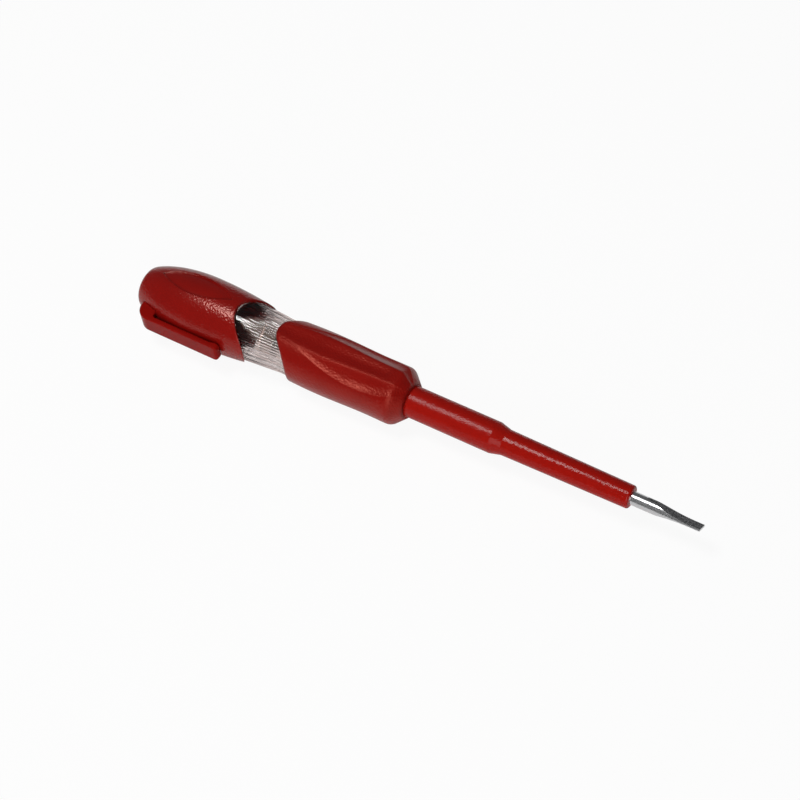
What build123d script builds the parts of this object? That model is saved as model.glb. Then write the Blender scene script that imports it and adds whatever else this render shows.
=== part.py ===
from build123d import *
import math
import os

os.makedirs("parts", exist_ok=True)

# Mains voltage tester in the form of a small insulated screwdriver, in millimetres.
# X runs along the tool towards the tip, from the middle of the grip's front face, on the tool's axis.
# +Z points out of the oval on top of the cap, and the pocket clip is at -Y. Places that lie behind the
# grip's front face are named as distances back from it.

# Fits
slide_gap = 0.05  # between parts that slide or turn on each other
seat_gap = 0.02  # between parts that are pressed or moulded together
overrun = 1.0  # how far a cutting shape runs past what it cuts
quarter_turn = 90

# Blade
blade_radius = 1.5
blade_reach = 69.65  # front face of the grip to the tip
blade_turn = 33.0  # degrees that the blade's flat stands turned from the top of the grip, towards +Y
blade_tip_thickness = 0.5
blade_tip_flat = 2.2  # length of the tip that is ground parallel
blade_grind_radius = 34.0  # hollow grind of the two faces
blade_wing_offset = 1.6  # behind the wings, the blade's round end
blade_wing_length = 3.0
blade_wing_span = 4.8
blade_wing_thickness = 1.0

# Insulation on the blade
bare_blade_length = 16.0
shank_length = 20.85  # thick part, from the grip to the cone
cone_length = 2.7
shank_radius = 3.62
sleeve_root_radius = 2.95
sleeve_end_radius = 2.6
sleeve_lip_fillet = 0.5
cone_fillet = 0.6
neck_overlap = 0.4  # how much thicker the insulation is where it passes through the front of the grip
insulation_flange_overlap = 0.9
insulation_flange_thickness = 1.4

# Clear body
body_front_gap = 0.1
body_radius = 6.05  # at the waist and under the grip
body_flare = 0.95  # how much wider it is where it meets the cap
body_mouth_chamfer = 0.4
parting_gap = 0.1  # seam between the front edge of the cap and the shoulder of the clear body
flute_count = 44
flute_depth = 0.13
flute_width = 0.5

# Handle, and the places along it as shares of its length, measured back from the grip's front face
handle_length = 71.95  # front face of the grip to the rear end of the cap
place_shares = {
    "rim": 0.060,  # where the conical front of the grip and its rounding begin
    "grip wall": 0.075,  # rear of the grip's front wall
    "blade end": 0.158,
    "resistor end": 0.352,
    "flutes": 0.364,  # where the flutes start under the grip
    "grip sides": 0.403,  # rear edge of the grip below its tongue
    "waist": 0.450,
    "lamp end": 0.520,
    "cap front": 0.5636,
    "sleeve end": 0.747,
    "oval": 0.795,
    "body end": 0.874,
    "chamber end": 0.908,
}

# Grip
grip_tongue_half_width = 7.0
grip_tongue_angle = 45.0  # between the edges of the tongue and the tool's axis
grip_tongue_tip_radius = 4.3
grip_rim_overlap = 0.1  # how far the conical front stops short of the neck
grip_cone_length = 2.8
grip_rim_fillet = 2.2
grip_collar_swell = 0.75  # how far the collar stands proud of the clear body
grip_form_share = 0.522  # length of the form that the grip is cut from, as a share of the handle's length
# Sections of that form at equal steps from its front: the body's radius, half the width of the top flat
# and its height as shares of the clear body's radius, and the ridge angle in degrees
grip_section_shares = (
    (1.124, 0.250, 1.085, 17.0),
    (1.120, 0.350, 1.056, 50.0),
    (1.128, 0.390, 1.050, 54.0),
    (1.163, 0.450, 1.060, 47.0),
    (1.168, 0.440, 1.072, 33.0),
    (1.130, 0.330, 1.068, 21.0),
    (1.083, 0.248, 1.053, 15.0),
)

# Series resistor
resistor_rod_radius = 1.9
resistor_cap_length = 2.6
end_cap_wall = 0.25
resistor_room = 0.15  # between its caps and the bore
resistor_proud = 0.3  # how far the resistor stands out of its bore to meet the lamp

# Neon lamp
lamp_glass_radius = 2.55
lamp_glass_wall = 0.4
lamp_glass_fillet = 0.8
lamp_cap_length = 2.2
electrode_radius = 0.35
electrode_spacing = 1.5
electrode_overlap_share = 0.4  # of the lamp's length

# Contact sleeve and spring
sleeve_radius = 3.0
sleeve_wall = 0.3
sleeve_bore_gap = 0.1
sleeve_nose_radius = 1.0
sleeve_nose_height = 0.4
sleeve_corner_fillet = 0.5
spring_wire_radius = 0.25
spring_side_gap = 0.25  # between the coil and the wall of the sleeve
spring_turns = 12
spring_end_gap = 0.05

# Cap
cap_front_lip = 0.05  # how far its front edge stands proud of the clear body's widest part
cap_belly_swell = 1.1  # how much wider its belly is than the clear body's widest part
cap_dome_reach = 19.7  # half axis of the dome's ellipse
cap_end_share = 0.818  # of that half axis, where the flat end cuts the dome
cap_end_fillet = 1.8
cap_spigot_wall = 0.9  # of its front edge, outside the clear body's spigot
cap_notch_depth = 4.75  # from the tips of its arms, which are cut off square
cap_notch_reach = 5.0  # depth of the notch's parabola at the outside of the cap's front edge
cap_floor_gap = 0.5  # behind the rear end of the clear body
oval_length = 19.4
oval_width = 6.0
oval_depth = 0.35
oval_turn = 7.0  # degrees towards +Y

# Touch contact
contact_radius = 2.3
contact_flange_step = 0.65
contact_flange_thickness = 1.1
contact_nose_radius = 1.4
contact_nose_length = 2.0
contact_recess = 0.3  # its end face lies this far inside the cap's end
contact_end_fillet = 0.3

# Pocket clip
clip_width = 4.6
clip_thickness = 1.25
clip_gap = 0.3  # between the clip and the cap's belly
clip_front_gap = 5.4  # its tip lies this far behind the cap's front edge
clip_toe_length = 2.6
clip_toe_height = 0.3
clip_knuckle_radius = 2.2
clip_knuckle_offset = 3.0  # from the cap's rear end to the rear of the knuckle
clip_pivot_drop = 1.85  # from the cap's belly radius in to the pivot
clip_shoulder_length = 3.3
clip_inner_fillet = 0.8
clip_tip_fillet = 0.9
clip_corner_fillet = 1.2
clip_edge_fillet = 0.3
clip_side_gap = 0.08

# Places that follow from the sizes above
insulation_end = blade_reach - bare_blade_length
cone_end = shank_length + cone_length
place = {name: share * handle_length for name, share in place_shares.items()}
neck_radius = shank_radius + neck_overlap
insulation_flange_radius = neck_radius + insulation_flange_overlap
grip_wall = place["grip wall"]
flange_front_back = grip_wall - insulation_flange_thickness
grip_rim_radius = neck_radius + grip_rim_overlap
grip_collar_radius = body_radius + grip_collar_swell
grip_sides_back = place["grip sides"]
grip_form_length = grip_form_share * handle_length
body_front = grip_wall + body_front_gap
blade_back = place["blade end"]
blade_wing_back = blade_back - blade_wing_offset
resistor_front = blade_back
resistor_back = place["resistor end"]
resistor_length = resistor_back - resistor_front
resistor_cap_radius = resistor_rod_radius + seat_gap + end_cap_wall
resistor_bore_radius = resistor_cap_radius + resistor_room
lamp_front = resistor_back
lamp_back = place["lamp end"]
lamp_cap_radius = lamp_glass_radius + seat_gap + end_cap_wall
electrode_overlap = electrode_overlap_share * (lamp_back - lamp_front)
sleeve_front = lamp_back + sleeve_nose_height
sleeve_back = place["sleeve end"]
spring_coil_radius = sleeve_radius - sleeve_wall - spring_side_gap - spring_wire_radius
body_back = place["body end"]
body_bore_radius = sleeve_radius + sleeve_bore_gap
body_wide_radius = body_radius + body_flare
cap_front_back = place["cap front"]
cap_front_radius = body_wide_radius + cap_front_lip
cap_belly_radius = body_wide_radius + cap_belly_swell
cap_belly_back = handle_length - cap_end_share * cap_dome_reach
cap_floor = body_back + cap_floor_gap
cap_chamber_back = place["chamber end"]
notch_back = cap_front_back + cap_notch_depth
notch_bend = cap_notch_reach / cap_front_radius**2
body_spigot_radius = cap_front_radius - cap_spigot_wall
contact_flange_radius = contact_radius + contact_flange_step
contact_seat = cap_chamber_back - contact_flange_thickness
contact_end = handle_length - contact_recess
clip_inner = cap_belly_radius + clip_gap
clip_outer = clip_inner + clip_thickness
clip_tip_back = cap_front_back + clip_front_gap
clip_pivot_back = handle_length - clip_knuckle_offset - clip_knuckle_radius
clip_pivot_offset = cap_belly_radius - clip_pivot_drop


def behind(distance):
    """Plane across the tool at a distance behind the grip's front face."""
    return Plane.YZ.offset(-distance)


def corner(x, radius):
    """The corner of the sketch in hand nearest to a place."""
    return vertices().sort_by_distance((x, radius, 0))[0]


# Blade: shaft, two anti-turn wings pressed out near its rear end, and the hollow-ground tip
with BuildPart() as blade:
    with BuildSketch(behind(blade_back)):
        Circle(blade_radius)
    extrude(amount=blade_back + blade_reach)
    with BuildSketch(behind(blade_wing_back)):
        Rectangle(blade_wing_span, blade_wing_thickness)
    extrude(amount=blade_wing_length)
    half_tip = blade_tip_thickness / 2
    lean = math.radians(blade_turn)
    with BuildSketch(Plane(origin=(0, 0, 0), x_dir=(1, 0, 0), z_dir=(0, -math.cos(lean), math.sin(lean)))):
        for side in (1, -1):
            with Locations((blade_reach - blade_tip_flat, side * (half_tip + blade_grind_radius))):
                Circle(blade_grind_radius)
            with Locations((blade_reach, side * (half_tip + blade_radius))):
                Rectangle(2 * blade_tip_flat, 2 * blade_radius)
    extrude(amount=blade_radius + overrun, both=True, mode=Mode.SUBTRACT)
blade.part.label = "blade"

# Insulation: flange and neck inside the grip, thick shank, cone and thin sleeve
with BuildPart() as blade_insulation:
    with BuildSketch(Plane.XY):
        with BuildLine():
            Polyline(
                (-grip_wall, blade_radius + seat_gap),
                (-grip_wall, insulation_flange_radius),
                (-flange_front_back, insulation_flange_radius),
                (-flange_front_back, neck_radius),
                (0, neck_radius),
                (0, shank_radius),
                (shank_length, shank_radius),
                (cone_end, sleeve_root_radius),
                (insulation_end, sleeve_end_radius),
                (insulation_end, blade_radius + seat_gap),
                close=True,
            )
        make_face()
        fillet(corner(shank_length, shank_radius), cone_fillet)
        fillet(corner(insulation_end, sleeve_end_radius), sleeve_lip_fillet)
    revolve(axis=Axis.X)
blade_insulation.part.label = "blade_insulation"

# Grip: faceted form, rounded at the front, with a tongue on top of its rear edge
with BuildPart() as front_grip:
    section_step = grip_form_length / (len(grip_section_shares) - 1)
    for step, (body_share, width_share, height_share, ridge_angle) in enumerate(grip_section_shares):
        body = body_share * body_radius
        flat = (width_share * body_radius, height_share * body_radius)
        ridge = (body * math.sin(math.radians(ridge_angle)), body * math.cos(math.radians(ridge_angle)))
        with BuildSketch(behind(step * section_step)):
            with BuildLine():
                Polyline(ridge, flat, (-flat[0], flat[1]), (-ridge[0], ridge[1]))
                CenterArc((0, 0), body, quarter_turn + ridge_angle, quarter_turn - ridge_angle)
                CenterArc((0, 0), body, 2 * quarter_turn, quarter_turn)
                CenterArc((0, 0), body, -quarter_turn, quarter_turn)
                CenterArc((0, 0), body, 0, quarter_turn - ridge_angle)
            make_face()
    loft()
    # Conical front with a rounded rim
    grip_clear = grip_collar_radius + 2 * overrun
    with BuildSketch(Plane.XY):
        with BuildLine():
            Polyline(
                (-place["rim"], grip_collar_radius),
                (-grip_cone_length, grip_collar_radius),
                (0, grip_rim_radius),
                (overrun, grip_rim_radius),
                (overrun, grip_clear),
                (-place["rim"], grip_clear),
                close=True,
            )
        make_face()
        fillet(corner(-grip_cone_length, grip_collar_radius), grip_rim_fillet)
    revolve(axis=Axis.X, mode=Mode.SUBTRACT)
    # Rear edge: straight below, a tongue with a round tip above
    tongue_reach = grip_tongue_half_width / math.tan(math.radians(grip_tongue_angle))
    with BuildSketch(behind(grip_sides_back)):
        Rectangle(2 * grip_clear, grip_clear, align=(Align.CENTER, Align.MAX))
    extrude(amount=-2 * grip_form_length, mode=Mode.SUBTRACT)
    with BuildSketch(Plane.XY):
        with BuildLine():
            Polyline(
                (-grip_sides_back, grip_clear),
                (-grip_sides_back, grip_tongue_half_width),
                (-grip_sides_back - tongue_reach, 0),
                (-grip_sides_back, -grip_tongue_half_width),
                (-grip_sides_back, -grip_clear),
                (-2 * grip_form_length, -grip_clear),
                (-2 * grip_form_length, grip_clear),
                close=True,
            )
        make_face()
        fillet(corner(-grip_sides_back - tongue_reach, 0), grip_tongue_tip_radius)
    extrude(amount=grip_clear, mode=Mode.SUBTRACT)
    # Bores for the insulation and the clear body
    with BuildSketch(behind(-overrun)):
        Circle(neck_radius + seat_gap)
    extrude(amount=-(grip_wall + 2 * overrun), mode=Mode.SUBTRACT)
    with BuildSketch(behind(flange_front_back - seat_gap)):
        Circle(insulation_flange_radius + seat_gap)
    extrude(amount=-(insulation_flange_thickness + overrun), mode=Mode.SUBTRACT)
    with BuildSketch(behind(grip_wall)):
        Circle(body_radius + seat_gap)
    extrude(amount=-2 * grip_form_length, mode=Mode.SUBTRACT)
front_grip.part.label = "front_grip"


def notch_form(forward):
    """Everything in front of the notch's parabola in the cap's front edge, moved forward by a distance."""
    half_width = cap_belly_radius + 2 * overrun
    bend_depth = notch_bend * half_width**2
    apex = forward - notch_back
    with BuildPart() as form:
        with BuildSketch(Plane.XY):
            with BuildLine():
                left = (apex + bend_depth, -half_width)
                right = (apex + bend_depth, half_width)
                Bezier(left, (apex - bend_depth, 0), right)
                Line(right, left)
            make_face()
        extrude(amount=half_width, both=True)
    return form.part


cap_notch = notch_form(0)
shoulder_notch = notch_form(parting_gap)

# Room that the cap takes round the clear body: everything behind its front edge, outside the spigot
with BuildPart() as cap_room:
    with BuildSketch(behind(cap_front_back - parting_gap)):
        Circle(cap_belly_radius + overrun)
        Circle(body_spigot_radius, mode=Mode.SUBTRACT)
    extrude(amount=-(cap_notch_depth + overrun))
    add(shoulder_notch, mode=Mode.SUBTRACT)

# One flute cutter: a thin straight-sided slab whose floor follows the waist and the flare of the clear body
flutes_back = place["flutes"]
waist_back = place["waist"]
flute_floor = body_radius - flute_depth
with BuildPart() as flute:
    with BuildSketch(Plane.XY):
        flare_slope = body_flare / (notch_back - waist_back)
        floor_end = flute_floor + (notch_back + overrun - waist_back) * flare_slope
        with BuildLine():
            Polyline(
                (-flutes_back, flute_floor),
                (-waist_back, flute_floor),
                (-notch_back - overrun, floor_end),
                (-notch_back - overrun, floor_end + 2 * overrun),
                (-flutes_back, floor_end + 2 * overrun),
                close=True,
            )
        make_face()
    extrude(amount=flute_width / 2, both=True)

# Clear body. Its flared part ends at a shoulder that follows the front edge of the cap.
with BuildPart() as tester_body:
    with BuildSketch(Plane.XY):
        with BuildLine():
            Polyline(
                (-body_front, 0),
                (-body_front, body_radius),
                (-waist_back, body_radius),
                (-notch_back, body_wide_radius),
                (-notch_back, 0),
                close=True,
            )
        make_face()
    revolve(axis=Axis.X)
    flute_pitch = 360 / flute_count
    flutes = [Rot(X=(step + 0.5) * flute_pitch) * flute.part for step in range(flute_count)]
    add(flutes, mode=Mode.SUBTRACT)
    add(cap_room.part, mode=Mode.SUBTRACT)
    with BuildSketch(behind(notch_back - overrun)):
        Circle(body_spigot_radius)
    extrude(amount=-(body_back - notch_back + overrun))
    # Stepped bore: blade, resistor, then lamp, contact sleeve and spring
    with BuildSketch(behind(body_front)):
        Circle(blade_radius + seat_gap)
    extrude(amount=-(blade_back - body_front + overrun), mode=Mode.SUBTRACT)
    with BuildSketch(behind(body_front)):
        Rectangle(blade_wing_span + 2 * seat_gap, blade_wing_thickness + 2 * seat_gap)
    extrude(amount=-(blade_wing_back - body_front + seat_gap), mode=Mode.SUBTRACT)
    with BuildSketch(behind(resistor_front)):
        Circle(resistor_bore_radius)
    extrude(amount=-resistor_length, mode=Mode.SUBTRACT)
    with BuildSketch(behind(resistor_back - resistor_proud)):
        Circle(body_bore_radius)
    extrude(amount=-(body_back - resistor_back + resistor_proud), mode=Mode.SUBTRACT)
    mouth = edges().filter_by(GeomType.CIRCLE).sort_by(Axis.X)[0:2]
    chamfer(mouth, body_mouth_chamfer)
tester_body.part.label = "tester_body"

# Series resistor: ceramic rod with a pressed cap on each end
with BuildPart() as resistor_rod:
    with BuildSketch(behind(resistor_front + end_cap_wall + seat_gap)):
        Circle(resistor_rod_radius)
    extrude(amount=-(resistor_length - 2 * (end_cap_wall + seat_gap)))
resistor_rod.part.label = "resistor_rod"

with BuildPart() as resistor_front_cap:
    with BuildSketch(behind(resistor_front)):
        Circle(resistor_cap_radius)
    extrude(amount=-resistor_cap_length)
    with BuildSketch(behind(resistor_front + end_cap_wall)):
        Circle(resistor_rod_radius + seat_gap)
    extrude(amount=-resistor_cap_length, mode=Mode.SUBTRACT)
resistor_front_cap.part.label = "resistor_front_cap"

with BuildPart() as resistor_rear_cap:
    with BuildSketch(behind(resistor_back)):
        Circle(resistor_cap_radius)
    extrude(amount=resistor_cap_length)
    with BuildSketch(behind(resistor_back - end_cap_wall)):
        Circle(resistor_rod_radius + seat_gap)
    extrude(amount=resistor_cap_length, mode=Mode.SUBTRACT)
resistor_rear_cap.part.label = "resistor_rear_cap"

# Neon lamp: sealed glass tube, two side-by-side rod electrodes and an end cap on each end
glass_front = lamp_front + end_cap_wall + seat_gap
glass_back = lamp_back - end_cap_wall - seat_gap
lamp_middle = (glass_front + glass_back) / 2
electrode_places = {"lamp_front_electrode": (glass_front, 1), "lamp_rear_electrode": (glass_back, -1)}
electrodes = {}
for name, (outer_end, side) in electrode_places.items():
    inner_end = lamp_middle + side * electrode_overlap / 2
    with BuildPart() as electrode:
        with BuildSketch(behind(outer_end)):
            with Locations((side * electrode_spacing / 2, 0)):
                Circle(electrode_radius)
        extrude(amount=outer_end - inner_end)
    electrode.part.label = name
    electrodes[name] = electrode.part

with BuildPart() as lamp_glass:
    with BuildSketch(behind(glass_front)):
        Circle(lamp_glass_radius)
    extrude(amount=-(glass_back - glass_front))
    fillet(edges(), lamp_glass_fillet)
    with BuildSketch(behind(glass_front + lamp_glass_wall)):
        Circle(lamp_glass_radius - lamp_glass_wall)
    extrude(amount=-(glass_back - glass_front - 2 * lamp_glass_wall), mode=Mode.SUBTRACT)
    for outer_end, side in electrode_places.values():
        with BuildSketch(behind(outer_end)):
            with Locations((side * electrode_spacing / 2, 0)):
                Circle(electrode_radius + seat_gap)
        extrude(amount=-side * 2 * lamp_glass_wall, mode=Mode.SUBTRACT)
lamp_glass.part.label = "lamp_glass"

with BuildPart() as lamp_front_cap:
    with BuildSketch(behind(lamp_front)):
        Circle(lamp_cap_radius)
    extrude(amount=-lamp_cap_length)
    with BuildSketch(behind(lamp_front + end_cap_wall)):
        Circle(lamp_glass_radius + seat_gap)
    extrude(amount=-lamp_cap_length, mode=Mode.SUBTRACT)
lamp_front_cap.part.label = "lamp_front_cap"

with BuildPart() as lamp_rear_cap:
    with BuildSketch(behind(lamp_back)):
        Circle(lamp_cap_radius)
    extrude(amount=lamp_cap_length)
    with BuildSketch(behind(lamp_back - end_cap_wall)):
        Circle(lamp_glass_radius + seat_gap)
    extrude(amount=lamp_cap_length, mode=Mode.SUBTRACT)
lamp_rear_cap.part.label = "lamp_rear_cap"

# Contact sleeve: drawn metal cup with a nose that presses on the lamp, open to the rear
with BuildPart() as contact_sleeve:
    with BuildSketch(Plane.XY):
        with BuildLine():
            Polyline(
                (-lamp_back, 0),
                (-lamp_back, sleeve_nose_radius),
                (-sleeve_front, sleeve_nose_radius),
                (-sleeve_front, sleeve_radius),
                (-sleeve_back, sleeve_radius),
                (-sleeve_back, sleeve_radius - sleeve_wall),
                (-sleeve_front - sleeve_wall, sleeve_radius - sleeve_wall),
                (-sleeve_front - sleeve_wall, 0),
                close=True,
            )
        make_face()
        fillet(corner(-sleeve_front, sleeve_radius), sleeve_corner_fillet)
        fillet(corner(-sleeve_front - sleeve_wall, sleeve_radius - sleeve_wall), sleeve_corner_fillet / 2)
    revolve(axis=Axis.X)
contact_sleeve.part.label = "contact_sleeve"

# Contact spring: open coil between the floor of the sleeve and the flange of the touch contact
spring_front = sleeve_front + sleeve_wall + spring_wire_radius + spring_end_gap
spring_back = contact_seat - spring_wire_radius - spring_end_gap
spring_pitch = (spring_back - spring_front) / spring_turns


def coil_point(turns):
    """Place on the coil's centre line after a number of turns from its front end."""
    angle = 2 * math.pi * turns
    return Vector(
        -spring_front - spring_pitch * turns,
        spring_coil_radius * math.cos(angle),
        spring_coil_radius * math.sin(angle),
    )


def coil_direction(turns):
    """Unit direction of the coil's centre line there."""
    angle = 2 * math.pi * turns
    around = 2 * math.pi * spring_coil_radius
    return Vector(-spring_pitch, -around * math.sin(angle), around * math.cos(angle)).normalized()


with BuildPart() as contact_spring:
    with BuildLine() as coil:
        for step in range(2 * spring_turns):
            start, end = coil_point(step / 2), coil_point((step + 1) / 2)
            leaving, arriving = coil_direction(step / 2), coil_direction((step + 1) / 2)
            chord = end - start
            both = leaving + arriving
            # Two arcs of equal reach that meet with one tangent
            bend = 2 * (1 - leaving.dot(arriving))
            lean = chord.dot(both)
            reach = (math.sqrt(lean**2 + bend * chord.dot(chord)) - lean) / bend
            knee = (start + leaving * reach + end - arriving * reach) / 2
            middle = (end - arriving * reach - start - leaving * reach).normalized()
            TangentArc(start, knee, tangent=leaving)
            TangentArc(knee, end, tangent=middle)
    with BuildSketch(Plane(origin=coil.line @ 0, z_dir=coil.line % 0)):
        Circle(spring_wire_radius)
    sweep()
contact_spring.part.label = "contact_spring"

# Touch contact: turned stud with a spring nose, a flange that seats in the cap and a shank to its end
with BuildPart() as touch_contact:
    with BuildSketch(Plane.XY):
        with BuildLine():
            Polyline(
                (-contact_seat + contact_nose_length, 0),
                (-contact_seat + contact_nose_length, contact_nose_radius),
                (-contact_seat, contact_nose_radius),
                (-contact_seat, contact_flange_radius),
                (-cap_chamber_back, contact_flange_radius),
                (-cap_chamber_back, contact_radius),
                (-contact_end, contact_radius),
                (-contact_end, 0),
                close=True,
            )
        make_face()
        fillet(corner(-contact_end, contact_radius), contact_end_fillet)
        chamfer(corner(-contact_seat + contact_nose_length, contact_nose_radius), contact_end_fillet)
    revolve(axis=Axis.X)
touch_contact.part.label = "touch_contact"


def cap_form(inset):
    """Egg-shaped outside of the cap, or the same form set in by a distance."""
    belly = (-cap_belly_back, cap_belly_radius - inset)
    front = (-cap_front_back, cap_front_radius - inset)
    with BuildPart() as form:
        with BuildSketch(Plane.XY):
            with BuildLine():
                TangentArc(belly, front, tangent=(1, 0))
                EllipticalCenterArc(
                    (-cap_belly_back, 0),
                    cap_dome_reach - inset,
                    cap_belly_radius - inset,
                    start_angle=quarter_turn,
                    arc_size=quarter_turn,
                )
                Polyline(
                    front, (-cap_front_back, 0), (-cap_belly_back - cap_dome_reach + inset, 0)
                )
            make_face()
        revolve(axis=Axis.X)
        split(bisect_by=behind(handle_length - inset), keep=Keep.TOP)
    return form.part


cap_outside = cap_form(0)
cap_under_oval = cap_form(oval_depth)

# Cutter for the oval on top of the cap: a lens of two arcs, down to the set-in form
with BuildPart() as oval:
    lens_radius = (oval_length**2 + oval_width**2) / (4 * oval_width)
    lean = math.radians(oval_turn)
    with BuildSketch(Plane(origin=(0, 0, 0), x_dir=(1, 0, 0), z_dir=(0, math.sin(lean), math.cos(lean)))):
        for side in (1, -1):
            with Locations((-place["oval"], side * (lens_radius - oval_width / 2))):
                Circle(lens_radius, mode=Mode.ADD if side > 0 else Mode.INTERSECT)
    extrude(amount=cap_belly_radius + overrun)
    add(cap_under_oval, mode=Mode.SUBTRACT)

# Cap: egg form with the through notch in its front edge, bored for the body and the contact
with BuildPart() as rear_cap:
    add(cap_outside)
    fillet(edges().sort_by(Axis.X)[0], cap_end_fillet)
    add(cap_notch, mode=Mode.SUBTRACT)
    add(oval.part, mode=Mode.SUBTRACT)
    with BuildSketch(behind(cap_front_back - overrun)):
        Circle(body_spigot_radius + slide_gap)
    extrude(amount=-(cap_floor - cap_front_back + overrun), mode=Mode.SUBTRACT)
    with BuildSketch(behind(cap_floor - overrun)):
        Circle(contact_flange_radius + slide_gap)
    extrude(amount=-(cap_chamber_back - cap_floor + overrun), mode=Mode.SUBTRACT)
    with BuildSketch(behind(cap_chamber_back - overrun)):
        Circle(contact_radius + seat_gap)
    extrude(amount=-(handle_length - cap_chamber_back + 2 * overrun), mode=Mode.SUBTRACT)
    # Seat of the clip's root: a round pocket about its pivot, open to the outside
    knuckle_room = clip_knuckle_radius + slide_gap
    with BuildSketch(Plane.XY):
        with Locations((-clip_pivot_back, -clip_pivot_offset)):
            Circle(knuckle_room)
            Rectangle(2 * knuckle_room, clip_outer, align=(Align.CENTER, Align.MAX))
    extrude(amount=clip_width / 2 + clip_side_gap, both=True, mode=Mode.SUBTRACT)
rear_cap.part.label = "rear_cap"

# Pocket clip: rounded root on a knuckle, springy arm and a toe at its free end
with BuildPart() as pocket_clip:
    knuckle_front = clip_pivot_back - clip_knuckle_radius
    knuckle_rear = clip_pivot_back + clip_knuckle_radius
    shoulder_back = knuckle_rear - clip_shoulder_length
    toe_inner = clip_inner - clip_toe_height
    with BuildSketch(Plane.XY):
        with BuildLine():
            EllipticalCenterArc(
                (-shoulder_back, -clip_pivot_offset),
                clip_shoulder_length,
                clip_outer - clip_pivot_offset,
                start_angle=2 * quarter_turn,
                arc_size=quarter_turn,
            )
            Polyline(
                (-shoulder_back, -clip_outer),
                (-clip_tip_back, -clip_outer),
                (-clip_tip_back, -toe_inner),
                (-clip_tip_back - clip_toe_length / 2, -toe_inner),
                (-clip_tip_back - clip_toe_length, -clip_inner),
                (-knuckle_front, -clip_inner),
                (-knuckle_front, -clip_pivot_offset),
                (-knuckle_rear, -clip_pivot_offset),
            )
        make_face()
        fillet(corner(-knuckle_front, -clip_inner), clip_inner_fillet)
        fillet(corner(-clip_tip_back, -clip_outer), clip_tip_fillet)
        with Locations((-clip_pivot_back, -clip_pivot_offset)):
            Circle(clip_knuckle_radius)
    extrude(amount=clip_width / 2, both=True)
    # Both corners of its tip are rounded as seen from the side that it faces
    with BuildSketch(Plane.XZ) as outline:
        with Locations((-clip_tip_back, 0)):
            Rectangle(2 * handle_length, clip_width, align=(Align.MAX, Align.CENTER))
        fillet(outline.vertices().group_by(Axis.X)[-1], clip_corner_fillet)
    extrude(amount=2 * clip_outer, both=True, mode=Mode.INTERSECT)
    sides = faces().sort_by(Axis.Z)
    fillet(sides[0].edges() + sides[-1].edges(), clip_edge_fillet)
pocket_clip.part.label = "pocket_clip"

pieces = (
    blade,
    blade_insulation,
    front_grip,
    tester_body,
    resistor_rod,
    resistor_front_cap,
    resistor_rear_cap,
    lamp_glass,
    lamp_front_cap,
    lamp_rear_cap,
    contact_sleeve,
    contact_spring,
    touch_contact,
    rear_cap,
    pocket_clip,
)
for piece in pieces:
    export_step(piece.part, f"parts/{piece.part.label}.step")
for name, electrode_part in electrodes.items():
    export_step(electrode_part, f"parts/{name}.step")

# The least gap of the spring to itself, measured on points one turn and more apart
coil_points = [coil_point(step / 16) for step in range(16 * spring_turns + 1)]
least = min(
    (a - b).length for i, a in enumerate(coil_points) for b in coil_points[i + 8 :]
) - 2 * spring_wire_radius
print(f"contact spring: {spring_turns} turns, pitch {spring_pitch:.2f}, least gap to itself {least:.2f}")
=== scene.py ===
import math
import bmesh
import bpy
from mathutils import Matrix, Vector


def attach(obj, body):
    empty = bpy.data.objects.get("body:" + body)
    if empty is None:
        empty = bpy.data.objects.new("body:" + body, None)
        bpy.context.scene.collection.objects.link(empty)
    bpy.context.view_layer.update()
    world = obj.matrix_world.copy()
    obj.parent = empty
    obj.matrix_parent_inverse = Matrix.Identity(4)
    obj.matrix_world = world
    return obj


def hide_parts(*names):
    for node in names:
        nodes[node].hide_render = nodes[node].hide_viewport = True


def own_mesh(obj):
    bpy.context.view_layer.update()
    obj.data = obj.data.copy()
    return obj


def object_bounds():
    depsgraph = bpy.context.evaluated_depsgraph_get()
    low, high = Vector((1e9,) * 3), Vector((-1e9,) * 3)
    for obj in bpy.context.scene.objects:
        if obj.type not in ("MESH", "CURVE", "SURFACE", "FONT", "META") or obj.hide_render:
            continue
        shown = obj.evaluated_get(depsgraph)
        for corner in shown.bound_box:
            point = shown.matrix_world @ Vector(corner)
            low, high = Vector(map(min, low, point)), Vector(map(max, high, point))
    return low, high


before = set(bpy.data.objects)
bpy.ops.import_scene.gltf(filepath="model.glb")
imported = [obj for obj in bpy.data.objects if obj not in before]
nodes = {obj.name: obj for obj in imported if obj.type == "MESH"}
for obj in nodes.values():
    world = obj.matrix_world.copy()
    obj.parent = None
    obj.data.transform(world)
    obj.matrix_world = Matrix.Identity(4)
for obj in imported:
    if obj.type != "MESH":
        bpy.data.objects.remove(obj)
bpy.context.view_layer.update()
mm = 0.001  # sizes below are in millimetres


def hexColour(code):
    # sRGB hex to the linear colour that the nodes take
    channels = [int(code[i:i + 2], 16) / 255 for i in (1, 3, 5)]
    linear = [c / 12.92 if c <= 0.04045 else ((c + 0.055) / 1.055) ** 2.4 for c in channels]
    return (*linear, 1.0)


def addNode(tree, kind, settings=None, **inputs):
    # settings are the node's own. Each input, by name or as i0 or i1, takes a value, a node or a node's output
    node = tree.nodes.new(kind)
    for key, value in (settings or {}).items():
        setattr(node, key, value)
    for key, value in inputs.items():
        socket = node.inputs[int(key[1:]) if key[1:].isdigit() else key.replace("_", " ")]
        if isinstance(value, bpy.types.Node):
            value = value.outputs[0]
        if isinstance(value, bpy.types.NodeSocket):
            tree.links.new(value, socket)
        else:
            socket.default_value = value
    return node


def newMaterial(name):
    material = bpy.data.materials.new(name)
    material.use_nodes = True
    material.node_tree.nodes.clear()
    return material, material.node_tree


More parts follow.
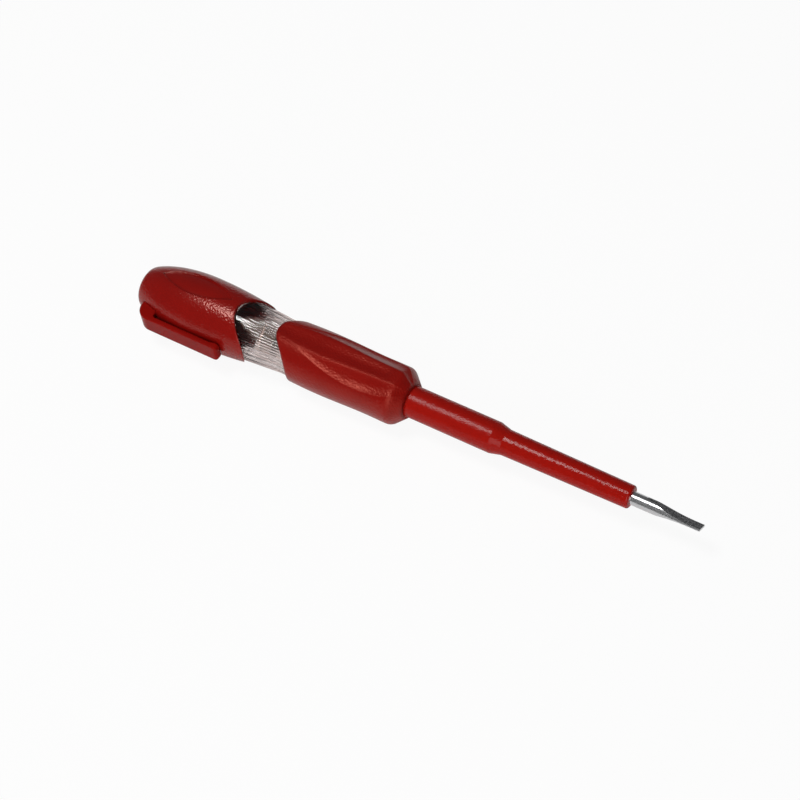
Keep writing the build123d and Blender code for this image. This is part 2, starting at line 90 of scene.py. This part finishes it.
cameraSetup = {
    "lookAt": (-2.879, -0.635, -0.550),  # what is in the middle of the picture
    "towardCamera": (0.3719, -0.4746, 0.7978),
    "distance": 410.0,
    "lens": 84.06,
    "sensor": 36.0,
    "roll": 23.73,  # how far the tool's axis falls to the right in the picture, in degrees
    "nearest": 10.0,
}

back = Vector(cameraSetup["towardCamera"]).normalized()
alongTool = (Vector((1, 0, 0)) - back * back.x).normalized()
downTool = alongTool.cross(back)
fall = math.radians(cameraSetup["roll"])
right = math.cos(fall) * alongTool - math.sin(fall) * downTool
up = -(math.sin(fall) * alongTool + math.cos(fall) * downTool)
cameraData = bpy.data.cameras.new("camera")
cameraData.lens = cameraSetup["lens"]
cameraData.sensor_width = cameraSetup["sensor"]
cameraData.clip_start = cameraSetup["nearest"] * mm
camera = bpy.data.objects.new("camera", cameraData)
bpy.context.collection.objects.link(camera)
turn = Matrix((right, up, back)).transposed().to_4x4()
stand = (Vector(cameraSetup["lookAt"]) + back * cameraSetup["distance"]) * mm
camera.matrix_world = Matrix.Translation(stand) @ turn
bpy.context.scene.camera = camera
print("camera ready")

studio = {
    "floorSize": 3000,
    "floorColour": "#fbfbfa",
    "floorRoughness": 0.9,
    "floorGlow": 0.92,  # how much of the floor's look is its own white, the rest takes the shadow
    "glossyGlow": 0.2,  # the same where metal or plastic mirrors the floor
    "worldColour": "#ffffff",
    "worldStrength": 0.07,
    "worldMirrored": 0.03,  # added to that in mirrors
    "worldThroughClear": 0.3,
}

floorMesh = bmesh.new()
bmesh.ops.create_grid(floorMesh, x_segments=1, y_segments=1, size=studio["floorSize"] / 2 * mm)
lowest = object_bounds()[0][2]
bmesh.ops.translate(floorMesh, verts=floorMesh.verts, vec=(0, 0, lowest))
floorData = bpy.data.meshes.new("floor")
floorMesh.to_mesh(floorData)
floorMesh.free()
floor = bpy.data.objects.new("floor", floorData)
bpy.context.collection.objects.link(floor)

# White seamless paper: matt, and white wherever the camera or clear plastic sees it, weaker in mirrors
paper, tree = newMaterial("whiteSeamlessPaper")
matt = addNode(tree, "ShaderNodeBsdfPrincipled", Base_Color=hexColour(studio["floorColour"]),
               Roughness=studio["floorRoughness"], Specular_IOR_Level=0.0)
white = addNode(tree, "ShaderNodeEmission", Strength=1.0)
path = addNode(tree, "ShaderNodeLightPath")
seen = addNode(tree, "ShaderNodeMath", {"operation": "MAXIMUM"},
               i0=path.outputs["Is Camera Ray"], i1=path.outputs["Is Transmission Ray"])
direct = addNode(tree, "ShaderNodeMath", {"operation": "MULTIPLY"}, i0=seen, i1=studio["floorGlow"])
mirrored = addNode(tree, "ShaderNodeMath", {"operation": "MULTIPLY"},
                   i0=path.outputs["Is Glossy Ray"], i1=studio["glossyGlow"])
glow = addNode(tree, "ShaderNodeMath", {"operation": "MAXIMUM"}, i0=direct, i1=mirrored)
shown = addNode(tree, "ShaderNodeMixShader", i0=glow, i1=matt, i2=white)
addNode(tree, "ShaderNodeOutputMaterial", Surface=shown)
floorData.materials.append(paper)

# White where the camera sees it, weaker through clear plastic, faint in mirrors and as light
world = bpy.data.worlds.new("studio")
bpy.context.scene.world = world
world.use_nodes = True
tree = world.node_tree
tree.nodes.clear()
path = addNode(tree, "ShaderNodeLightPath")
faint = addNode(tree, "ShaderNodeMath", {"operation": "MULTIPLY_ADD"}, i0=path.outputs["Is Glossy Ray"],
                i1=studio["worldMirrored"], i2=studio["worldStrength"])
through = addNode(tree, "ShaderNodeMath", {"operation": "MULTIPLY"},
                  i0=path.outputs["Is Transmission Ray"], i1=studio["worldThroughClear"])
weak = addNode(tree, "ShaderNodeMath", {"operation": "MAXIMUM"}, i0=faint, i1=through)
strength = addNode(tree, "ShaderNodeMath", {"operation": "MAXIMUM"}, i0=weak, i1=path.outputs["Is Camera Ray"])
background = addNode(tree, "ShaderNodeBackground", Color=hexColour(studio["worldColour"]), Strength=strength)
addNode(tree, "ShaderNodeOutputWorld", Surface=background)

# The direction that each softbox stands in, its distance and size in mm, and its power in watts
softboxes = {
    "keySoftbox": {"direction": (-0.27, -0.16, 0.95), "distance": 600, "size": 190, "power": 1.8},
    "fillSoftbox": {"direction": (0.40, -0.82, 0.42), "distance": 900, "size": 700, "power": 4.0},
    "backSoftbox": {"direction": (0.10, 0.90, 0.40), "distance": 900, "size": 500, "power": 0.1},
}

for name, facts in softboxes.items():
    lampData = bpy.data.lights.new(name, "AREA")
    lampData.shape = "SQUARE"
    lampData.size = facts["size"] * mm
    lampData.energy = facts["power"]
    lamp = bpy.data.objects.new(name, lampData)
    bpy.context.collection.objects.link(lamp)
    direction = Vector(facts["direction"]).normalized()
    lamp.location = direction * facts["distance"] * mm
    lamp.rotation_euler = direction.to_track_quat("Z", "Y").to_euler()
bpy.context.scene.view_settings.view_transform = "Standard"
print("studio ready")

# Reds: injection-moulded ABS from a spark-eroded mould. Its fine grain breaks up the highlights into sparks,
# which look warm because the light goes a little way into the pigmented plastic
redAbs = {
    "colour": "#92110c",
    "darker": "#820e0a",
    "clouds": 7.0,  # size of the faint unevenness of the colour
    "cloudDetail": 2.0,
    "grain": 0.45,  # coarser than the real texture, so that it shows
    "grainDetail": 0.6,
    "grainDepth": 0.08,
    "edgeSamples": 6,
}
gripFinish = {"grainShare": 1.0, "roughness": 0.31, "shine": 0.65, "tint": "#ff8f7a", "edgeRadius": 1.2}
capFinish = {"grainShare": 1.0, "roughness": 0.2, "shine": 0.5, "tint": "#ffc6ba", "edgeRadius": 0.5}
clipFinish = {"grainShare": 0.45, "roughness": 0.2, "shine": 0.07, "tint": "#ffd0c6", "edgeRadius": 0.6}

# Floor of the oval on the cap, polished in the mould
ovalRecess = {
    "middle": 57.2,
    "length": 19.4,
    "width": 6.0,
    "turn": 7.0,
    "inset": 0.1,
    "polish": 0.75,  # share of the grain that is gone there
}


def insideOval(tree, place):
    # 1 inside the oval and 0 elsewhere, from the two circles of its outline in its own plane
    turned = addNode(tree, "ShaderNodeVectorRotate", {"rotation_type": "X_AXIS"}, Vector=place,
                     Angle=math.radians(ovalRecess["turn"]))
    parts = addNode(tree, "ShaderNodeSeparateXYZ", Vector=turned)
    along = addNode(tree, "ShaderNodeMath", {"operation": "ADD"},
                    i0=parts.outputs["X"], i1=ovalRecess["middle"] * mm)
    inside = addNode(tree, "ShaderNodeMath", {"operation": "GREATER_THAN"}, i0=parts.outputs["Z"], i1=0.0)
    width = ovalRecess["width"]
    radius = (ovalRecess["length"] ** 2 + width ** 2) / (4 * width)
    for side in (1, -1):
        across = addNode(tree, "ShaderNodeMath", {"operation": "ADD"},
                         i0=parts.outputs["Y"], i1=side * (radius - width / 2) * mm)
        fromCentre = addNode(tree, "ShaderNodeCombineXYZ", X=along, Y=across)
        distance = addNode(tree, "ShaderNodeVectorMath", {"operation": "LENGTH"}, i0=fromCentre)
        within = addNode(tree, "ShaderNodeMath", {"operation": "LESS_THAN"},
                         i0=distance.outputs["Value"], i1=(radius - ovalRecess["inset"]) * mm)
        inside = addNode(tree, "ShaderNodeMath", {"operation": "MULTIPLY"}, i0=inside, i1=within)
    return inside


# Shallow hollow of the grip's two long side facets, which only the shading has: where their upper and lower
# edges stand round the tool, in degrees from its top, at equal steps back from the grip's front
facetHollow = {
    "length": 37.56,
    "upper": (13, 18, 20, 23, 22, 17, 13),
    "lower": (17, 50, 54, 47, 33, 21, 15),
    "depth": 0.3,
    "narrowest": 0.02,  # in radians, where a facet runs out
    "fullness": 6.0,  # height of the hollow's parabola for its width in radians
}


def facetHeight(tree, place):
    # 0 at both edges of a facet and outside it, most in its middle
    parts = addNode(tree, "ShaderNodeSeparateXYZ", Vector=place)
    position = addNode(tree, "ShaderNodeMath", {"operation": "MULTIPLY"},
                       i0=parts.outputs["X"], i1=-1 / (facetHollow["length"] * mm))
    sideways = addNode(tree, "ShaderNodeMath", {"operation": "ABSOLUTE"}, i0=parts.outputs["Y"])
    angle = addNode(tree, "ShaderNodeMath", {"operation": "ARCTAN2"}, i0=sideways, i1=parts.outputs["Z"])
    edges = []
    for degrees in (facetHollow["upper"], facetHollow["lower"]):
        curve = addNode(tree, "ShaderNodeFloatCurve", Value=position)
        points = curve.mapping.curves[0].points
        points[0].location = (0.0, degrees[0] / 90)
        points[1].location = (1.0, degrees[-1] / 90)
        for step, degree in enumerate(degrees[1:-1], start=1):
            points.new(step / (len(degrees) - 1), degree / 90)
        curve.mapping.update()
        edges.append(addNode(tree, "ShaderNodeMath", {"operation": "MULTIPLY"}, i0=curve, i1=math.pi / 2))
    upper, lower = edges
    width = addNode(tree, "ShaderNodeMath", {"operation": "SUBTRACT"}, i0=lower, i1=upper)
    width = addNode(tree, "ShaderNodeMath", {"operation": "MAXIMUM"}, i0=width, i1=facetHollow["narrowest"])
    across = addNode(tree, "ShaderNodeMath", {"operation": "SUBTRACT"}, i0=angle, i1=upper)
    across = addNode(tree, "ShaderNodeMath", {"operation": "DIVIDE", "use_clamp": True}, i0=across, i1=width)
    rest = addNode(tree, "ShaderNodeMath", {"operation": "SUBTRACT"}, i0=1.0, i1=across)
    hump = addNode(tree, "ShaderNodeMath", {"operation": "MULTIPLY"}, i0=across, i1=rest)
    hump = addNode(tree, "ShaderNodeMath", {"operation": "MULTIPLY"}, i0=hump, i1=width)
    return addNode(tree, "ShaderNodeMath", {"operation": "MULTIPLY"}, i0=hump, i1=facetHollow["fullness"])


def makeRedAbs(name, finish, hasOval=False, hasFacets=False):
    material, tree = newMaterial(name)
    place = addNode(tree, "ShaderNodeTexCoord").outputs["Object"]
    grain = addNode(tree, "ShaderNodeTexNoise", Vector=place, Scale=1 / (redAbs["grain"] * mm),
                    Detail=redAbs["grainDetail"])
    clouds = addNode(tree, "ShaderNodeTexNoise", Vector=place, Scale=1 / (redAbs["clouds"] * mm),
                     Detail=redAbs["cloudDetail"])
    colour = addNode(tree, "ShaderNodeMix", {"data_type": "RGBA"}, i0=clouds,
                     i6=hexColour(redAbs["darker"]), i7=hexColour(redAbs["colour"]))
    surface = addNode(tree, "ShaderNodeBevel", {"samples": redAbs["edgeSamples"]}, Radius=finish["edgeRadius"] * mm)
    if hasFacets:
        surface = addNode(tree, "ShaderNodeBump", {"invert": True}, Normal=surface, Strength=1.0,
                          Distance=facetHollow["depth"] * mm, Height=facetHeight(tree, place))
    grainStrength = 1.0
    if hasOval:
        polished = addNode(tree, "ShaderNodeMath", {"operation": "MULTIPLY"},
                           i0=insideOval(tree, place), i1=ovalRecess["polish"])
        grainStrength = addNode(tree, "ShaderNodeMath", {"operation": "SUBTRACT"}, i0=1.0, i1=polished)
    bump = addNode(tree, "ShaderNodeBump", Normal=surface, Height=grain, Strength=grainStrength,
                   Distance=redAbs["grainDepth"] * finish["grainShare"] * mm)
    shader = addNode(tree, "ShaderNodeBsdfPrincipled", Base_Color=colour.outputs[2], Normal=bump,
                     Roughness=finish["roughness"], Specular_IOR_Level=finish["shine"],
                     Specular_Tint=hexColour(finish["tint"]))
    addNode(tree, "ShaderNodeOutputMaterial", Surface=shader)
    return material


# Insulation of soft PVC moulded onto the blade: satin on the thick shank, glossy on the cone and the thin
# sleeve, with faint waves from the flow of the plastic
redPvc = {
    "colour": "#a8160c",
    "darker": "#97110a",
    "roughness": 0.17,
    "satin": 0.24,  # roughness of the shank
    "satinEnd": 21.0,
    "satinFade": 1.0,
    "shine": 0.15,
    "waveSize": 1.3,
    "waveDetail": 2.0,
    "waveDepth": 0.05,
    "grain": 0.42,
    "grainDetail": 0.6,
    "grainDepth": 0.045,
}


def makeRedPvc():
    material, tree = newMaterial("redPvcInsulation")
    place = addNode(tree, "ShaderNodeTexCoord").outputs["Object"]
    waves = addNode(tree, "ShaderNodeTexNoise", Vector=place, Scale=1 / (redPvc["waveSize"] * mm),
                    Detail=redPvc["waveDetail"])
    grain = addNode(tree, "ShaderNodeTexNoise", Vector=place, Scale=1 / (redPvc["grain"] * mm),
                    Detail=redPvc["grainDetail"])
    colour = addNode(tree, "ShaderNodeMix", {"data_type": "RGBA"}, i0=waves,
                     i6=hexColour(redPvc["darker"]), i7=hexColour(redPvc["colour"]))
    flow = addNode(tree, "ShaderNodeBump", Height=waves, Strength=1.0, Distance=redPvc["waveDepth"] * mm)
    bump = addNode(tree, "ShaderNodeBump", Height=grain, Strength=1.0, Distance=redPvc["grainDepth"] * mm,
                   Normal=flow)
    parts = addNode(tree, "ShaderNodeSeparateXYZ", Vector=place)
    satinEnd = redPvc["satinEnd"] * mm
    rough = addNode(tree, "ShaderNodeMapRange", Value=parts.outputs["X"], From_Min=satinEnd,
                    From_Max=satinEnd + redPvc["satinFade"] * mm, To_Min=redPvc["satin"], To_Max=redPvc["roughness"])
    shader = addNode(tree, "ShaderNodeBsdfPrincipled", Base_Color=colour.outputs[2], Roughness=rough, Normal=bump,
                     Specular_IOR_Level=redPvc["shine"])
    addNode(tree, "ShaderNodeOutputMaterial", Surface=shader)
    return material


# Clear moulded polycarbonate, polished by the mould: fine ribs beside the flutes of the solid and faint
# streaks along the flow, which together draw out whatever lies behind them
clearBody = {
    "colour": "#fcf3f1",
    # painted shade: the colour that the rib troughs darken to
    "ribTroughPaintedShade": "#d9c6c2",
    "roughness": 0.05,
    "ior": 1.585,
    "streak": 0.3,
    "streakStretch": (0.01, 1.0, 1.0),
    "streakDetail": 1.0,
    "streakDepth": 0.01,
    "ribs": 64,  # round the body
    "ribDepth": 0.04,
    "ribsFrom": -43.0,  # where they start, and where they have their full depth
    "ribsFull": -36.5,
    "boreSide": 5.0,  # nothing nearer to the axis has ribs
}


def makeClearBody():
    material, tree = newMaterial("clearPolycarbonate")
    place = addNode(tree, "ShaderNodeTexCoord").outputs["Object"]
    stretched = addNode(tree, "ShaderNodeMapping", Vector=place, Scale=clearBody["streakStretch"])
    streaks = addNode(tree, "ShaderNodeTexNoise", Vector=stretched, Scale=1 / (clearBody["streak"] * mm),
                      Detail=clearBody["streakDetail"])
    parts = addNode(tree, "ShaderNodeSeparateXYZ", Vector=place)
    angle = addNode(tree, "ShaderNodeMath", {"operation": "ARCTAN2"},
                    i0=parts.outputs["Y"], i1=parts.outputs["Z"])
    turns = addNode(tree, "ShaderNodeMath", {"operation": "MULTIPLY"}, i0=angle, i1=clearBody["ribs"])
    ribs = addNode(tree, "ShaderNodeMath", {"operation": "SINE"}, i0=turns)
    fromAxis = addNode(tree, "ShaderNodeCombineXYZ", X=parts.outputs["Y"], Y=parts.outputs["Z"])
    distance = addNode(tree, "ShaderNodeVectorMath", {"operation": "LENGTH"}, i0=fromAxis)
    outside = addNode(tree, "ShaderNodeMath", {"operation": "GREATER_THAN"},
                      i0=distance.outputs["Value"], i1=clearBody["boreSide"] * mm)
    fade = addNode(tree, "ShaderNodeMapRange", Value=parts.outputs["X"],
                   From_Min=clearBody["ribsFrom"] * mm, From_Max=clearBody["ribsFull"] * mm)
    height = addNode(tree, "ShaderNodeMath", {"operation": "MULTIPLY"}, i0=ribs, i1=outside)
    height = addNode(tree, "ShaderNodeMath", {"operation": "MULTIPLY"}, i0=height, i1=fade)
    ribbed = addNode(tree, "ShaderNodeBump", Height=height, Strength=1.0, Distance=clearBody["ribDepth"] * mm)
    bump = addNode(tree, "ShaderNodeBump", Height=streaks, Strength=1.0, Normal=ribbed,
                   Distance=clearBody["streakDepth"] * mm)
    # painted shade: the base colour darkens in the troughs of the ribs and is lightest on their crests
    shade = addNode(tree, "ShaderNodeMapRange", Value=height, From_Min=-1.0, From_Max=1.0)
    tone = addNode(tree, "ShaderNodeMix", {"data_type": "RGBA"}, i0=shade,
                   i6=hexColour(clearBody["ribTroughPaintedShade"]), i7=hexColour(clearBody["colour"]))
    shader = addNode(tree, "ShaderNodeBsdfPrincipled", Base_Color=tone.outputs[2], Normal=bump,
                     Roughness=clearBody["roughness"], IOR=clearBody["ior"], Transmission_Weight=1.0)
    addNode(tree, "ShaderNodeOutputMaterial", Surface=shader)
    return material


# Drawn soda glass of the neon lamp: clear, with the slow waves of a drawn tube
lampGlass = {
    "colour": "#f6f8f6",
    "roughness": 0.02,
    "ior": 1.5,
    "waveSize": 2.5,
    "waveDetail": 1.0,
    "waveDepth": 0.01,
}


def makeLampGlass():
    material, tree = newMaterial("drawnLampGlass")
    place = addNode(tree, "ShaderNodeTexCoord").outputs["Object"]
    waves = addNode(tree, "ShaderNodeTexNoise", Vector=place, Scale=1 / (lampGlass["waveSize"] * mm),
                    Detail=lampGlass["waveDetail"])
    bump = addNode(tree, "ShaderNodeBump", Height=waves, Strength=1.0, Distance=lampGlass["waveDepth"] * mm)
    shader = addNode(tree, "ShaderNodeBsdfPrincipled", Base_Color=hexColour(lampGlass["colour"]), Normal=bump,
                     Roughness=lampGlass["roughness"], IOR=lampGlass["ior"], Transmission_Weight=1.0)
    addNode(tree, "ShaderNodeOutputMaterial", Surface=shader)
    return material


# Blade of drawn chrome-vanadium steel: bright and round, with a dull grain from the grinding wheel on the
# two flat faces of its tip, whose dark grey colour is painted reflection of the dark surroundings they mirror
bladeSteel = {
    "colour": "#d4d4d6",
    "roughness": 0.24,
    "lineStretch": (0.04, 1.0, 1.0),
    "lineWidth": 0.2,
    "lineDepth": 0.003,
    # painted reflection: the ground faces' dark greys stand in for the dark surroundings they mirror
    "ground": "#88888b",
    "groundSpecksAndPaintedReflection": "#3c3c3f",
    "groundRoughness": 0.5,
    "grain": 0.3,
    "grainDepth": 0.05,
    "grainFrom": 0.38,  # part of the noise that makes the light and dark specks
    "grainTo": 0.62,
    "detail": 3.0,
    "flatTurn": 33.0,  # the ground faces stand turned towards +Y
    "flatWithin": 0.93,  # cosine of how far a face may lean from that
    "grindStart": 57.0,
}


def makeBladeSteel():
    material, tree = newMaterial("chromeVanadiumSteel")
    place = addNode(tree, "ShaderNodeTexCoord").outputs["Object"]
    drawn = addNode(tree, "ShaderNodeMapping", Vector=place, Scale=bladeSteel["lineStretch"])
    lines = addNode(tree, "ShaderNodeTexNoise", Vector=drawn, Scale=1 / (bladeSteel["lineWidth"] * mm),
                    Detail=bladeSteel["detail"])
    grain = addNode(tree, "ShaderNodeTexNoise", Vector=place, Scale=1 / (bladeSteel["grain"] * mm),
                    Detail=bladeSteel["detail"])
    lean = math.radians(bladeSteel["flatTurn"])
    surface = addNode(tree, "ShaderNodeNewGeometry")
    facing = addNode(tree, "ShaderNodeVectorMath", {"operation": "DOT_PRODUCT"}, i0=surface.outputs["Normal"],
                     i1=(0, math.sin(lean), math.cos(lean)))
    facing = addNode(tree, "ShaderNodeMath", {"operation": "ABSOLUTE"}, i0=facing.outputs["Value"])
    flat = addNode(tree, "ShaderNodeMath", {"operation": "GREATER_THAN"}, i0=facing, i1=bladeSteel["flatWithin"])
    parts = addNode(tree, "ShaderNodeSeparateXYZ", Vector=place)
    tip = addNode(tree, "ShaderNodeMath", {"operation": "GREATER_THAN"},
                  i0=parts.outputs["X"], i1=bladeSteel["grindStart"] * mm)
    ground = addNode(tree, "ShaderNodeMath", {"operation": "MULTIPLY"}, i0=flat, i1=tip)
    specks = addNode(tree, "ShaderNodeMapRange", Value=grain,
                     From_Min=bladeSteel["grainFrom"], From_Max=bladeSteel["grainTo"])
    # painted reflection mottled by the real grinding grain: the ground faces are coloured dark grey
    mottled = addNode(tree, "ShaderNodeMix", {"data_type": "RGBA"}, i0=specks,
                      i6=hexColour(bladeSteel["groundSpecksAndPaintedReflection"]), i7=hexColour(bladeSteel["ground"]))
    tone = addNode(tree, "ShaderNodeMix", {"data_type": "RGBA"}, i0=ground,
                   i6=hexColour(bladeSteel["colour"]), i7=mottled.outputs[2])
    rough = addNode(tree, "ShaderNodeMapRange", Value=ground,
                    To_Min=bladeSteel["roughness"], To_Max=bladeSteel["groundRoughness"])
    along = addNode(tree, "ShaderNodeBump", Height=lines, Strength=1.0, Distance=bladeSteel["lineDepth"] * mm)
    bump = addNode(tree, "ShaderNodeBump", Height=grain, Strength=ground, Normal=along,
                   Distance=bladeSteel["grainDepth"] * mm)
    shader = addNode(tree, "ShaderNodeBsdfPrincipled", Metallic=1.0, Base_Color=tone.outputs[2], Roughness=rough,
                     Normal=bump)
    addNode(tree, "ShaderNodeOutputMaterial", Surface=shader)
    return material


# Metals of the contacts: bright nickel plate with soft drawing marks that mirrors the window's light, duller
# tin plate, matt drawn electrode wire and bright spring wire
metals = {
    "nickelPlatedBrass": {"colour": "#e2dfd8", "darker": "#cfcbc3", "roughness": 0.10,
                          "markSize": 1.2, "markDepth": 0.004, "stretch": (1.0, 0.3, 0.3)},
    "tinnedBrass": {"colour": "#c9c8c2", "darker": "#aeada6", "roughness": 0.28,
                    "markSize": 0.5, "markDepth": 0.006, "stretch": (1.0, 1.0, 1.0)},
    "drawnElectrodeNickel": {"colour": "#8b8883", "darker": "#6f6d69", "roughness": 0.45,
                             "markSize": 0.15, "markDepth": 0.004, "stretch": (0.1, 1.0, 1.0)},
    "springSteelWire": {"colour": "#a2a3a6", "darker": "#86878a", "roughness": 0.22,
                        "markSize": 0.2, "markDepth": 0.004, "stretch": (1.0, 1.0, 1.0)},
}
markDetail = 3.0
roughnessSpread = 0.25  # how far the marks turn the roughness up and down


def makeMetal(name):
    facts = metals[name]
    material, tree = newMaterial(name)
    place = addNode(tree, "ShaderNodeTexCoord").outputs["Object"]
    stretched = addNode(tree, "ShaderNodeMapping", Vector=place, Scale=facts["stretch"])
    marks = addNode(tree, "ShaderNodeTexNoise", Vector=stretched, Scale=1 / (facts["markSize"] * mm),
                    Detail=markDetail)
    tone = addNode(tree, "ShaderNodeMix", {"data_type": "RGBA"}, i0=marks,
                   i6=hexColour(facts["darker"]), i7=hexColour(facts["colour"]))
    rough = addNode(tree, "ShaderNodeMapRange", Value=marks, To_Min=facts["roughness"] * (1 - roughnessSpread),
                    To_Max=facts["roughness"] * (1 + roughnessSpread))
    bump = addNode(tree, "ShaderNodeBump", Height=marks, Strength=1.0, Distance=facts["markDepth"] * mm)
    shader = addNode(tree, "ShaderNodeBsdfPrincipled", Metallic=1.0, Base_Color=tone.outputs[2], Roughness=rough,
                     Normal=bump)
    addNode(tree, "ShaderNodeOutputMaterial", Surface=shader)
    return material


# Ceramic rod of the resistor under a tan lacquer: faintly mottled and satin
resistorCeramic = {
    "colour": "#d8c297",
    "darker": "#b79a6c",
    "roughness": 0.4,
    "ior": 1.5,
    "mottle": 0.8,
    "mottleDetail": 3.0,
    "mottleDepth": 0.01,
}


def makeResistorCeramic():
    material, tree = newMaterial("lacqueredCeramic")
    place = addNode(tree, "ShaderNodeTexCoord").outputs["Object"]
    mottle = addNode(tree, "ShaderNodeTexNoise", Vector=place, Scale=1 / (resistorCeramic["mottle"] * mm),
                     Detail=resistorCeramic["mottleDetail"])
    colour = addNode(tree, "ShaderNodeMix", {"data_type": "RGBA"}, i0=mottle,
                     i6=hexColour(resistorCeramic["darker"]), i7=hexColour(resistorCeramic["colour"]))
    bump = addNode(tree, "ShaderNodeBump", Height=mottle, Strength=1.0,
                   Distance=resistorCeramic["mottleDepth"] * mm)
    shader = addNode(tree, "ShaderNodeBsdfPrincipled", Base_Color=colour.outputs[2], Normal=bump,
                     Roughness=resistorCeramic["roughness"], IOR=resistorCeramic["ior"])
    addNode(tree, "ShaderNodeOutputMaterial", Surface=shader)
    return material


nickel = makeMetal("nickelPlatedBrass")
tin = makeMetal("tinnedBrass")
electrodeNickel = makeMetal("drawnElectrodeNickel")
springSteel = makeMetal("springSteelWire")
finishes = {
    "rear_cap": makeRedAbs("redAbsSparkTexturedCap", capFinish, hasOval=True),
    "front_grip": makeRedAbs("redAbsSparkTextured", gripFinish, hasFacets=True),
    "pocket_clip": makeRedAbs("redAbsSmoother", clipFinish),
    "blade_insulation": makeRedPvc(),
    "tester_body": makeClearBody(),
    "blade": makeBladeSteel(),
    "contact_sleeve": nickel,
    "touch_contact": nickel,
    "contact_spring": springSteel,
    "lamp_glass": makeLampGlass(),
    "lamp_front_cap": nickel,
    "lamp_rear_cap": nickel,
    "resistor_front_cap": tin,
    "resistor_rear_cap": tin,
    "lamp_front_electrode": electrodeNickel,
    "lamp_rear_electrode": electrodeNickel,
    "resistor_rod": makeResistorCeramic(),
}
for name, material in finishes.items():
    for slot in nodes[name].material_slots:
        slot.link = "OBJECT"
        slot.material = material
print("materials ready")

# Contact spring: a smoothed copy of its solid that rides with the cap in place of the solid
contactSpring = {
    "seat": -64.23,
    "travel": 2.0,
    "mergeWithin": 0.0005,
    "sharpAngle": 40,
}
coilMesh = nodes["contact_spring"].data.copy()
coilMesh.name = "contactSpringCoil"
coil = bpy.data.objects.new("contactSpringCoil", coilMesh)
bpy.context.collection.objects.link(coil)
turns = bmesh.new()
turns.from_mesh(coilMesh)
bmesh.ops.remove_doubles(turns, verts=turns.verts, dist=contactSpring["mergeWithin"] * mm)
turns.to_mesh(coilMesh)
turns.free()
coilMesh.shade_smooth()
coilMesh.set_sharp_from_angle(angle=math.radians(contactSpring["sharpAngle"]))
coilMesh.materials.clear()
coilMesh.materials.append(springSteel)
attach(coil, "cap")
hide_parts("contact_spring")
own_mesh(coil)
print("spring ready")
